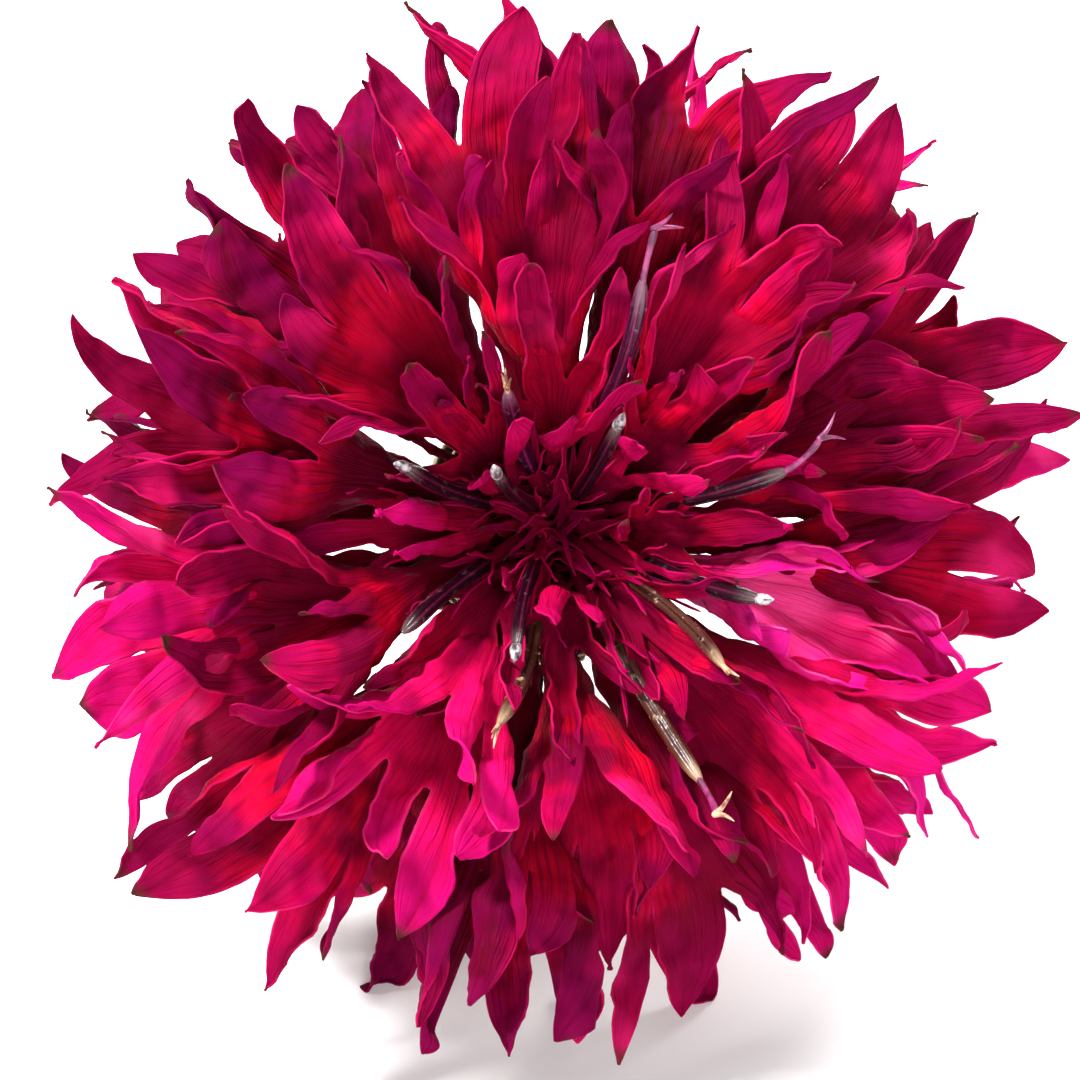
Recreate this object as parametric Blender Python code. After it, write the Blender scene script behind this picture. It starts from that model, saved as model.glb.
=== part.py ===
"""A crimson double cornflower, picked with a short stalk and lying on a surface.

Shapes are laid out in millimetres in the head's own frame: the stalk's top is at the origin, +Z runs up through
the face, and clock angles turn clockwise from twelve o'clock, as the face is seen. One empty carries every piece
and leans the head until it rests on its stalk end and its lowest petals.
"""

import math
from collections import namedtuple

import bmesh
import bpy
import numpy as np
from mathutils import Matrix, Vector
from mathutils.geometry import interpolate_bezier

MM = 0.001

# Thicknesses and clearances
PETAL = 0.20
BRACT = 0.22
GAP = 0.24
COLUMN_GAP = 0.50

# The green cup (involucre) and the dome that the florets grow on
CUP_PROFILE = ((0.0, 1.9), (1.0, 4.0), (2.5, 5.3), (5.0, 6.0), (8.0, 5.7), (10.5, 5.0), (12.5, 4.6), (13.6, 4.7))
CUP_ROWS = (  # first and last height of each row of bracts, outermost row first, and its number of bracts
    (0.4, 5.0, 7),
    (1.1, 8.0, 7),
    (2.0, 10.8, 8),
    (2.9, 13.3, 8),
)
ROW_STEP = BRACT + 0.32
MOUTH_HEIGHT = 13.8
DOME_PROFILE = ((0.1, 0.0), (0.1, 2.1), (2.5, 2.0), (3.6, 2.4), (4.2, 3.0), (4.5, 2.95), (4.8, 1.8), (4.9, 0.0))
SEAT_HEIGHT = 5.2

# The stalk
STALK_LENGTH = 16.0
STALK_PROFILE = ((0.0, 2.1), (0.06, 1.8), (0.2, 1.2), (0.6, 1.0), (1.0, 1.05))
STALK_BOW = 1.2

# A trumpet petal: share of its length beyond the cup's mouth, and its half width there
LOBES = 5
FLARE = ((-1.0, 0.30), (0.0, 0.36), (0.12, 0.48), (0.27, 0.80), (0.45, 1.65), (0.62, 2.7), (0.76, 3.5), (1.0, 4.6))
OPENING, SPLIT, LOBE_WIDEST = 0.12, 0.72, 0.86
LOBE_SHARE = 0.64
BROAD = 1.12
OBLIQUE = 0.16

# A fertile floret of the middle, by share of its whole length: its narrow tube and small mouth, then the column
# of its joined anthers
COLUMN = ((0.0, 0.26), (0.45, 0.26), (0.64, 0.30), (0.70, 0.50), (0.73, 0.36), (0.80, 0.34), (0.93, 0.39),
          (0.97, 0.30), (1.0, 0.12))

Whorl = namedtuple("Whorl", "name seat mouth scale flat first_seat florets")
# Each floret: clock angle, rise above the face's plane in degrees, and length beyond the mouth in mm. Flat is a
# mouth's height as a share of its half width in FLARE: the raised whorls gape wider than those pressed below them.
WHORLS = (
    Whorl("outer_floret", 3.42, 3.55, 1.0, 0.56, 2, (
        (5, -8, 20.0), (29, -9, 20.2), (52, -10, 20.0), (80, -8, 19.2), (108, -6, 18.4), (139, -9, 19.2),
        (165, -12, 20.0), (197, -13, 20.45), (237, -8, 20.6), (273, -7, 19.4), (302, -8, 19.2), (334, -9, 19.4),
    )),
    Whorl("second_floret", 2.84, 2.94, 1.0, 0.62, 17, (
        (17, 15, 21.0), (41, 13, 21.4), (65, 14, 20.4), (94, 12, 19.8), (124, 13, 19.4), (153, 12, 20.0),
        (185, 14, 20.4), (219, 16, 21.0), (255, 18, 20.6), (289, 20, 20.4), (318, 18, 19.6), (350, 15, 19.4),
    )),
    Whorl("third_floret", 2.26, 2.34, 0.92, 0.96, 38, (
        (40, 38, 17.6), (72, 30, 17.8), (107, 27, 17.0), (139, 28, 17.4), (172, 32, 16.8), (206, 42, 16.6),
        (247, 42, 17.0), (283, 36, 18.2), (314, 52, 18.0), (355, 33, 17.4),
    )),
    Whorl("inner_floret", 1.70, 1.76, 0.62, 0.90, 2, (
        (4, 60, 12.4), (54, 58, 12.0), (97, 62, 11.4), (142, 61, 11.8), (167, 63, 11.6), (218, 58, 12.4),
        (262, 50, 12.8), (317, 64, 12.8),
    )),
)
FERTILE_WHORLS = (
    Whorl("disc_floret", 1.10, 1.14, 1.0, 1.0, 24.5, (
        (24, 46, 14.5), (82, 46, 13.2), (113, 50, 13.0), (151, 40, 15.2), (186, 50, 12.4), (235, 56, 12.6),
        (284, 60, 12.0), (336, 64, 11.5),
    )),
    Whorl("centre_floret", 0.42, 0.44, 0.85, 1.0, 45, (
        (38, 68, 11.5), (125, 45, 13.4), (200, 64, 11.5), (300, 74, 11.0),
    )),
)

CRIMSON, DARK_CRIMSON = (0.36, 0.004, 0.045), (0.10, 0.002, 0.02)
BRACT_GREEN, STALK_GREEN, DOME_GREEN = (0.10, 0.16, 0.05), (0.16, 0.24, 0.09), (0.45, 0.50, 0.30)


def new_object(name, mesh, head, material):
    thing = bpy.data.objects.new(name, mesh)
    bpy.context.scene.collection.objects.link(thing)
    thing.parent = head
    mesh.materials.append(material)
    mesh.shade_smooth()
    return thing


def material(name, colour, roughness):
    made = bpy.data.materials.new(name)
    made.use_nodes = True
    shader = made.node_tree.nodes["Principled BSDF"]
    shader.inputs["Base Color"].default_value = (*colour, 1)
    shader.inputs["Roughness"].default_value = roughness
    return made


def thicken(thing, thickness):
    wall = thing.modifiers.new("wall", "SOLIDIFY")
    wall.thickness = thickness * MM
    wall.offset = 0


def outward(clock):
    return np.array((math.sin(math.radians(clock)), math.cos(math.radians(clock)), 0.0))


class Line:
    """The middle line of a floret, from its seat on the dome, up through the cup's mouth and out."""

    SAMPLES = 40

    def __init__(self, whorl, seat_clock, clock, rise, length):
        up = np.array((0, 0, 1.0))
        seat = outward(seat_clock) * whorl.seat + up * SEAT_HEIGHT
        mouth = outward(seat_clock) * whorl.mouth + up * MOUTH_HEIGHT
        rise = math.radians(rise)
        heading = outward(clock) * math.cos(rise) + up * math.sin(rise)
        arch = rise - math.radians(10)
        landing = outward(clock) * math.cos(arch) + up * math.sin(arch)
        leave = up * (0.10 + 0.12 * math.cos(rise)) * length
        tip = mouth + heading * length + leave * 0.4
        limb = interpolate_bezier(Vector(mouth), Vector(mouth + leave), Vector(tip - landing * length * 0.5),
                                  Vector(tip), self.SAMPLES)
        tube = [seat + (mouth - seat) * share for share in np.linspace(0, 1, 12, endpoint=False)]
        self.points = np.array(tube + [np.array(p) for p in limb])
        steps = np.linalg.norm(np.diff(self.points, axis=0), axis=1)
        self.run = np.concatenate(([0], np.cumsum(steps)))
        self.inside = np.linalg.norm(mouth - seat)
        self.length = self.run[-1] - self.inside
        self.side = np.cross(up, outward(clock))
        self.scale, self.flat = whorl.scale, whorl.flat

    def point(self, run):
        return np.array([np.interp(run, self.run, self.points[:, axis]) for axis in range(3)])

    def frame(self, run):
        """Point, upper side and across direction after this much of the line."""
        ahead = self.point(run + 0.2) - self.point(run - 0.2)
        upper = np.cross(ahead, self.side)
        upper /= np.linalg.norm(upper)
        across = np.cross(upper, ahead)
        return self.point(run), upper, across / np.linalg.norm(across)

    def run_at(self, share):
        """The run at a share of the length beyond the mouth, or of the tube inside where the share is negative."""
        return self.inside + share * (self.inside if share < 0 else self.length)

    def half_width(self, share):
        shares, widths = zip(*FLARE)
        return np.interp(share, shares, widths) * np.interp(share, (0, 0.3), (1, self.scale))

    def half_widths(self):
        shares = np.where(self.run < self.inside, self.run / self.inside - 1, (self.run - self.inside) / self.length)
        return self.half_width(shares)

    def column_radii(self):
        shares, radii = zip(*COLUMN)
        return np.interp(self.run / self.run[-1], shares, radii) * self.scale


def whorl_lines(whorls):
    """Every floret's middle line by its name. A whorl's seats are spread evenly round the dome."""
    lines = {}
    for whorl in whorls:
        for i, (clock, rise, length) in enumerate(whorl.florets):
            seat_clock = whorl.first_seat + 360 * i / len(whorl.florets)
            lines[f"{whorl.name}_{i + 1:02d}"] = Line(whorl, seat_clock, clock, rise, length)
    return lines


class Room:
    """Which petal a point belongs to: petals press against each other halfway and keep clear of the columns."""

    def __init__(self, petals, columns):
        self.points = np.concatenate([line.points for line in petals])
        self.widths = np.concatenate([line.half_widths() for line in petals])
        self.starts = np.cumsum([0] + [len(line.points) for line in petals[:-1]])
        self.rods = np.concatenate([line.points for line in columns])
        self.rod_radii = np.concatenate([line.column_radii() for line in columns])

    def holds(self, number, point):
        away = np.linalg.norm(self.points - point, axis=1)
        own = np.minimum.reduceat((away + GAP / 2) / self.widths, self.starts)[number]
        others = np.minimum.reduceat((away - GAP / 2) / self.widths, self.starts)
        others[number] = np.inf
        clear = np.linalg.norm(self.rods - point, axis=1) - self.rod_radii
        return own < others.min() and clear.min() > COLUMN_GAP

    def drawn_in(self, number, middle, point):
        """The point, drawn in towards its petal's middle line until it lies in that petal's own room."""
        if self.holds(number, point):
            return point
        low, high = 0.0, 1.0
        for _ in range(9):
            half = (low + high) / 2
            low, high = (half, high) if self.holds(number, middle + (point - middle) * half) else (low, half)
        return middle + (point - middle) * max(low, 0.01)


def trumpet(name, line, number, room, head, finish):
    """A petal: a slim solid tube that opens into a thin-walled trumpet with pointed lobes."""
    form = bmesh.new()
    step = math.pi / LOBES

    def vertex(share, angle, depth):
        if share > 0:
            share *= 1 - OBLIQUE * (1 + math.cos(angle)) / 2
        middle, upper, across = line.frame(line.run_at(share))
        half = line.half_width(share)
        flat = np.interp(share, (0, 0.4), (1, line.flat))
        broad = np.interp(share, (0, 0.4), (1, BROAD))
        offset = half * (upper * math.cos(angle) * flat + across * math.sin(angle) * broad)
        offset = room.drawn_in(number, middle, middle + offset) - middle
        reach = np.linalg.norm(offset)
        wanted = max(reach, depth * 1.4 + 0.06) - depth
        return form.verts.new(Vector(middle + offset * wanted / reach) * MM)

    def band(lower, upper):
        for i, (a, b) in enumerate(zip(lower, upper)):
            j = (i + 1) % len(lower)
            form.faces.new((a, lower[j], upper[j], b))

    def skin(depth):
        """The trumpet's wall beyond its opening, at this depth. Returns the ring it starts from."""
        start = [vertex(0.27, 2 * step * i, depth) for i in range(LOBES)]
        throat = [vertex(0.47, step * i, depth) for i in range(2 * LOBES)]
        split = [vertex(SPLIT, step * i, depth) for i in range(2 * LOBES)]
        for i in range(LOBES):
            j = (i + 1) % LOBES
            form.faces.new((start[i], throat[2 * i + 1], throat[2 * i]))
            form.faces.new((start[i], start[j], throat[2 * i + 1]))
            form.faces.new((start[j], throat[2 * j], throat[2 * i + 1]))
        band(throat, split)
        rim = []
        for i in range(0, 2 * LOBES, 2):
            middle_angle = step * (i + 1)
            right, centre, left = (vertex(LOBE_WIDEST, middle_angle + step * LOBE_SHARE * turn, depth)
                                   for turn in (-1, 0, 1))
            tip = vertex(1.0, middle_angle, depth)
            j = (i + 2) % (2 * LOBES)
            form.faces.new((split[i], split[i + 1], centre, right))
            form.faces.new((split[i + 1], split[j], left, centre))
            form.faces.new((right, centre, tip))
            form.faces.new((centre, left, tip))
            rim += [split[i], right, tip, left]
        return start, rim

    tube = [[vertex(share, 2 * step * i, 0) for i in range(LOBES)] for share in (-1, 0, OPENING)]
    outer_start, outer_rim = skin(0)
    form.faces.new(reversed(tube[0]))
    band(tube[0], tube[1])
    band(tube[1], tube[2])
    band(tube[2], outer_start)
    done = set(form.faces)
    inner_start, inner_rim = skin(PETAL)
    bottom = form.verts.new(Vector(line.point(line.run_at(OPENING + 0.03))) * MM)
    for i in range(LOBES):
        form.faces.new((bottom, inner_start[i], inner_start[(i + 1) % LOBES]))
    bmesh.ops.reverse_faces(form, faces=[face for face in form.faces if face not in done])
    band(outer_rim, inner_rim)
    bmesh.ops.recalc_face_normals(form, faces=form.faces)
    mesh = bpy.data.meshes.new(name)
    form.to_mesh(mesh)
    form.free()
    new_object(name, mesh, head, finish)


def rod(name, points, radii, head, finish):
    """A closed round rod along these points, with its own radius at each."""
    curve = bpy.data.curves.new(name, "CURVE")
    curve.dimensions = "3D"
    curve.bevel_depth = MM
    curve.bevel_resolution = 1
    curve.use_fill_caps = True
    spline = curve.splines.new("POLY")
    spline.points.add(len(points) - 1)
    for spot, point, radius in zip(spline.points, points, radii):
        spot.co = (*(point * MM), 1)
        spot.radius = radius
    curve.materials.append(finish)
    thing = bpy.data.objects.new(name, curve)
    bpy.context.scene.collection.objects.link(thing)
    thing.parent = head


def column(name, line, head, finish):
    """A fertile floret: its tube, its small narrow mouth and the anther column that stands out of it."""
    shares, radii = zip(*COLUMN)
    points = [line.point(share * line.run[-1]) for share in shares]
    rod(name, points, [radius * line.scale for radius in radii], head, finish)


def cup_radius(height, row):
    """Radius of a row's wall. Each row lies inside those below it and swells to the cup's outline above their tips."""
    heights, radii = zip(*CUP_PROFILE)
    radius = np.interp(height - row * ROW_STEP, heights, radii)
    for below in range(row):
        top = CUP_ROWS[below][1]
        radius -= ROW_STEP * np.interp(height, (top, top + 2.4), (1, 0.15))
    return radius


def bract_row(number, head, finish):
    """One row of the cup's overlapping bracts, joined at their feet as they are on the dome."""
    low, high, count = CUP_ROWS[number]
    form = bmesh.new()
    turn = math.pi / count
    offset = number * turn * 0.9

    def vertex(height, angle):
        radius = cup_radius(height, number)
        spot = (radius * math.sin(angle + offset), radius * math.cos(angle + offset), height)
        return form.verts.new(Vector(spot) * MM)

    valley = low + (high - low) * 0.62
    levels = (low, low + (valley - low) * 0.35, low + (valley - low) * 0.7, valley)
    rings = [[vertex(level, turn * i) for i in range(2 * count)] for level in levels]
    for lower, upper in zip(rings, rings[1:]):
        for i in range(2 * count):
            j = (i + 1) % (2 * count)
            form.faces.new((lower[j], lower[i], upper[i], upper[j]))
    for i in range(0, 2 * count, 2):
        angle = turn * (i + 1)
        j = (i + 2) % (2 * count)
        shoulder = valley + (high - valley) * 0.55
        right, centre, left = (vertex(shoulder, angle + turn * 0.7 * side) for side in (-1, 0, 1))
        tip = vertex(high, angle)
        form.faces.new((rings[-1][i + 1], rings[-1][i], right, centre))
        form.faces.new((rings[-1][j], rings[-1][i + 1], centre, left))
        form.faces.new((centre, right, tip))
        form.faces.new((left, centre, tip))
    mesh = bpy.data.meshes.new(f"bract_row_{number + 1}")
    form.to_mesh(mesh)
    form.free()
    thicken(new_object(mesh.name, mesh, head, finish), BRACT)


def turned(name, profile, sides, head, finish):
    """A solid of revolution about the head's axis, from (height, radius) points that start and end on the axis."""
    form = bmesh.new()
    chain = [form.verts.new((radius * MM, 0, height * MM)) for height, radius in profile]
    edges = [form.edges.new(pair) for pair in zip(chain, chain[1:])]
    bmesh.ops.spin(form, geom=chain + edges, cent=(0, 0, 0), axis=(0, 0, 1), angle=2 * math.pi, steps=sides,
                   use_merge=True)
    bmesh.ops.remove_doubles(form, verts=form.verts, dist=0.001 * MM)
    bmesh.ops.recalc_face_normals(form, faces=form.faces)
    mesh = bpy.data.meshes.new(name)
    form.to_mesh(mesh)
    form.free()
    new_object(name, mesh, head, finish)


def stalk(head, finish):
    """The cut stalk, swollen under the cup and slightly bowed."""
    shares, radii = zip(*STALK_PROFILE)
    steps = np.linspace(0, 1, 10)
    points = [np.array((0, STALK_BOW * share * share, -0.15 - share * STALK_LENGTH)) for share in steps]
    rod("stalk", points, np.interp(steps, shares, radii), head, finish)


def lowest(points, lean):
    """Height of the lowest of these points once the head leans this many degrees."""
    lean = math.radians(lean)
    return (points @ np.array((0, math.sin(lean), math.cos(lean)))).min()


def set_down(head):
    """Leans the head until its stalk end and a petal are equally low, and stands it on the floor."""
    bpy.context.view_layer.update()
    graph = bpy.context.evaluated_depsgraph_get()
    points = {}
    for thing in head.children:
        solid = thing.evaluated_get(graph).to_mesh()
        points[thing.name] = np.array([thing.matrix_world @ vertex.co for vertex in solid.vertices])
    petals = np.concatenate([points[name] for name in points if "floret" in name])
    low, high = 20.0, 75.0
    for _ in range(30):
        lean = (low + high) / 2
        low, high = (lean, high) if lowest(points["stalk"], lean) < lowest(petals, lean) else (low, lean)
    turn = Matrix.Rotation(math.radians(lean), 3, "X")
    everything = np.concatenate(list(points.values())) @ np.array(turn).T
    low, high = everything.min(axis=0), everything.max(axis=0)
    head.rotation_euler.x = math.radians(lean)
    head.location = (-(low[0] + high[0]) / 2, -(low[1] + high[1]) / 2, -low[2])


def main():
    for thing in list(bpy.data.objects):
        bpy.data.objects.remove(thing)
    head = bpy.data.objects.new("head", None)
    bpy.context.scene.collection.objects.link(head)
    crimson = material("petal_crimson", CRIMSON, 0.55)
    dark = material("column_dark", DARK_CRIMSON, 0.45)
    green = material("bract_green", BRACT_GREEN, 0.6)

    petals, columns = whorl_lines(WHORLS), whorl_lines(FERTILE_WHORLS)
    room = Room(list(petals.values()), list(columns.values()))
    for number, (name, line) in enumerate(petals.items()):
        trumpet(name, line, number, room, head, crimson)
    for name, line in columns.items():
        column(name, line, head, dark)
    for number in range(len(CUP_ROWS)):
        bract_row(number, head, green)
    turned("receptacle", DOME_PROFILE, 16, head, material("dome_pale", DOME_GREEN, 0.7))
    stalk(head, material("stalk_green", STALK_GREEN, 0.6))
    set_down(head)


main()
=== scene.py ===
"""A crimson double cornflower head, picked with a short stalk and lying on a pale surface."""

import math
import random

import bmesh
import bpy
import numpy as np
from mathutils import Matrix, Vector


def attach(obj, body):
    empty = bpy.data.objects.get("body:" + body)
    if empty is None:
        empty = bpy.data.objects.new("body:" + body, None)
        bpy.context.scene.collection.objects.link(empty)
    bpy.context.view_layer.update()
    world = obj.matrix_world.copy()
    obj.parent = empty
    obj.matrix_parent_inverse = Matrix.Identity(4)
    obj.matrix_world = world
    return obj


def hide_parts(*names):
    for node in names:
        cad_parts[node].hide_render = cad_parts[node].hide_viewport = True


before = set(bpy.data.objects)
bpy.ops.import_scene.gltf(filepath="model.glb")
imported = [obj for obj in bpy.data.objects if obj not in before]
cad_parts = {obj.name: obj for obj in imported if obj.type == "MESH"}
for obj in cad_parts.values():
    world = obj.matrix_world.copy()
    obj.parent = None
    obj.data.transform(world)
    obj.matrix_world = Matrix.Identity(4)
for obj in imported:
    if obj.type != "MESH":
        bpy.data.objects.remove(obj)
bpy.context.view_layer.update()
MM = 0.001

# --------------------------------------------------------------------------------------------------
# The head's own directions. A flower head grows round one axis, from its stalk through the middle of its
# face. The dome and the green cup are round, so the axis runs through the middles of both.


def cad_points(node):
    """The different corner points of a CAD node, one row each."""
    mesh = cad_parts[node].data
    points = np.empty(len(mesh.vertices) * 3)
    mesh.vertices.foreach_get("co", points)
    return np.unique(np.round(points.reshape(-1, 3), 7), axis=0)


FOOT = Vector(cad_points("receptacle").mean(axis=0))
AXIS = (Vector(cad_points("bract_row_4").mean(axis=0)) - FOOT).normalized()
EAST = Vector((1, 0, 0))
NORTH = AXIS.cross(EAST).normalized()
HEAD = Matrix((EAST, NORTH, AXIS)).transposed()


def head_points(node):
    """A CAD node's corner points as the head sees them: east, north and height above the dome's middle."""
    return (cad_points(node) - np.array(FOOT)) @ np.array(HEAD)


def from_head(points):
    return points @ np.array(HEAD).T + np.array(FOOT)


# --------------------------------------------------------------------------------------------------
# Floor, light and camera. The flower lies on a plain white surface in soft studio light, and the camera
# looks straight into its face, down along the head's axis.

FACE_HEIGHT = 14 * MM
VIEW_DISTANCE = 0.21
VIEW_WIDTH = 47.0 * MM
VIEW_SHIFT = EAST * -0.6 * MM + NORTH * -0.7 * MM
SENSOR_WIDTH = 36
STUDIO_LIGHT = 0.62
FLOOR_SIZE = 6
FLOOR_WHITE = (0.92, 0.92, 0.92, 1)

face = FOOT + AXIS * FACE_HEIGHT
camera_data = bpy.data.cameras.new("camera")
camera_data.sensor_width = SENSOR_WIDTH
camera_data.lens = SENSOR_WIDTH * VIEW_DISTANCE / VIEW_WIDTH
camera_data.clip_start = 0.01
camera = bpy.data.objects.new("camera", camera_data)
bpy.context.scene.collection.objects.link(camera)
viewpoint = face + AXIS * VIEW_DISTANCE + VIEW_SHIFT
camera.matrix_world = Matrix.Translation(viewpoint) @ HEAD.to_4x4()
bpy.context.scene.camera = camera
bpy.context.scene.view_settings.view_transform = "Standard"

bpy.ops.object.select_all(action="DESELECT")
bpy.ops.mesh.primitive_plane_add(size=FLOOR_SIZE)
floor = bpy.context.object
floor.name = "floor"
floor_paint = bpy.data.materials.new("white_table")
floor_paint.use_nodes = True
floor_shader = floor_paint.node_tree.nodes["Principled BSDF"]
floor_shader.inputs["Base Color"].default_value = FLOOR_WHITE
floor_shader.inputs["Roughness"].default_value = 0.9
floor.data.materials.append(floor_paint)

world = bpy.data.worlds.new("studio")
world.use_nodes = True
world.node_tree.nodes["Background"].inputs["Color"].default_value = (1, 1, 1, 1)
world.node_tree.nodes["Background"].inputs["Strength"].default_value = STUDIO_LIGHT
bpy.context.scene.world = world


def soft_light(name, east, north, ahead, size, power):
    """A round softbox turned towards the face, this far east, north and ahead of it. Metres and watts."""
    data = bpy.data.lights.new(name, "AREA")
    data.shape = "DISK"
    data.size = size
    data.energy = power
    light = bpy.data.objects.new(name, data)
    bpy.context.scene.collection.objects.link(light)
    light.location = face + EAST * east + NORTH * north + AXIS * ahead
    light.rotation_euler = (face - light.location).to_track_quat("-Z", "Y").to_euler()


soft_light("key", -0.34, 0.44, 0.36, 0.14, 11.0)
soft_light("fill", 0.06, -0.18, 0.66, 0.36, 3.0)
soft_light("rim", 0.25, 0.55, 0.05, 0.20, 3.0)

# --------------------------------------------------------------------------------------------------
# Petal tissue. A petal is a few cells thick: papery, with fine veins that run together towards each
# lobe's tip, a thin pale margin and a purple flush at the tips. Light and shade are painted in as well:
# on most florets the throat is painted dark, as shade deep in the cup, while the pale florets have a
# pale throat; darker patches are painted shade; pale patches on the lobes, and the margin in part, are
# painted highlights. Two sides, one pattern, each with its colours.


def put(tree, kind, feeds=(), **settings):
    """Adds a node, sets it up, and plugs these values and sockets into its inputs."""
    made = tree.nodes.new("ShaderNode" + kind)
    for key, value in settings.items():
        setattr(made, key, value)
    for key, value in dict(feeds).items():
        if isinstance(value, bpy.types.NodeSocket):
            tree.links.new(value, made.inputs[key])
        else:
            made.inputs[key].default_value = value
    return made.outputs


def maths(tree, operation, *values):
    return put(tree, "Math", enumerate(values), operation=operation)[0]


def product(tree, first, *others):
    for other in others:
        first = maths(tree, "MULTIPLY", first, other)
    return first


def between(tree, value, low, high, least=0.0, most=1.0):
    """Goes smoothly from least to most as the value goes from low to high."""
    ends = {"From Min": low, "From Max": high, "To Min": least, "To Max": most}
    return put(tree, "MapRange", {"Value": value, **ends}, interpolation_type="SMOOTHSTEP")[0]


def blended(tree, share, under, over):
    return put(tree, "Mix", {0: share, 6: under, 7: over}, data_type="RGBA")[2]


def noise(tree, vector, scale, detail=2.0):
    return put(tree, "TexNoise", {"Vector": vector, "Scale": scale, "Detail": detail})["Fac"]


def laid_out(tree):
    """A spot on a piece: how many lobes or ribs round it lies, how far along, and where in the flower."""
    spot = put(tree, "SeparateXYZ", {0: put(tree, "UVMap", uv_map="petal")[0]})
    return spot[0], spot[1], put(tree, "TexCoord")["Object"]


def from_middle(tree, turn):
    """0 on the middle line of a lobe or rib, 1 on its borders."""
    return product(tree, maths(tree, "ABSOLUTE", maths(tree, "SUBTRACT", turn, 0.5)), 2.0)


def streaked(tree, round_it, along, stretch, scale):
    """A noise drawn out along the piece."""
    spot = put(tree, "CombineXYZ", {0: round_it, 1: along})[0]
    drawn = put(tree, "VectorMath", {0: spot, 1: (*stretch, 1)}, operation="MULTIPLY")[0]
    return noise(tree, drawn, scale, 5)


def new_effect(name, colours, values=()):
    """A shader node group that gives Colour, Roughness and Height from these named colours and values."""
    tree = bpy.data.node_groups.new(name, "ShaderNodeTree")
    for label in colours:
        tree.interface.new_socket(label, in_out="INPUT", socket_type="NodeSocketColor")
    for label in values:
        tree.interface.new_socket(label, in_out="INPUT", socket_type="NodeSocketFloat")
    tree.interface.new_socket("Colour", in_out="OUTPUT", socket_type="NodeSocketColor")
    for label in ("Roughness", "Height"):
        tree.interface.new_socket(label, in_out="OUTPUT", socket_type="NodeSocketFloat")
    return tree, tree.nodes.new("NodeGroupInput").outputs, tree.nodes.new("NodeGroupOutput").inputs


def finish_of(name, effect, colours, relief, values=None, shader_values=None):
    """A material with an effect's colour, roughness and relief (in mm). The rest is set on its shader."""
    paint = bpy.data.materials.new(name)
    paint.use_nodes = True
    tree = paint.node_tree
    shader = tree.nodes["Principled BSDF"]
    used = tree.nodes.new("ShaderNodeGroup")
    used.node_tree = effect
    for key, colour in colours.items():
        used.inputs[key].default_value = (*colour, 1)
    for key, value in (values or {}).items():
        used.inputs[key].default_value = value
    for key, value in (shader_values or {}).items():
        shader.inputs[key].default_value = value
    tree.links.new(used.outputs["Colour"], shader.inputs["Base Color"])
    tree.links.new(used.outputs["Roughness"], shader.inputs["Roughness"])
    bump = put(tree, "Bump", {"Height": used.outputs["Height"], "Distance": relief * MM, "Strength": 0.8})
    tree.links.new(bump[0], shader.inputs["Normal"])
    return paint


VEINS_A_LOBE = 7
PETAL_SPLIT = 0.80
TIP_FLUSH, PURPLE_STREAKS, HOLLOW_SHADE, VEIN_SHADE = 0.72, 0.45, 0.75, 0.72
PAINTED_HIGHLIGHT, PALE_MARGIN_AND_HIGHLIGHT = 0.5, 0.34
SCORCHED_BROWN = (0.05, 0.018, 0.012, 1)


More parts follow.
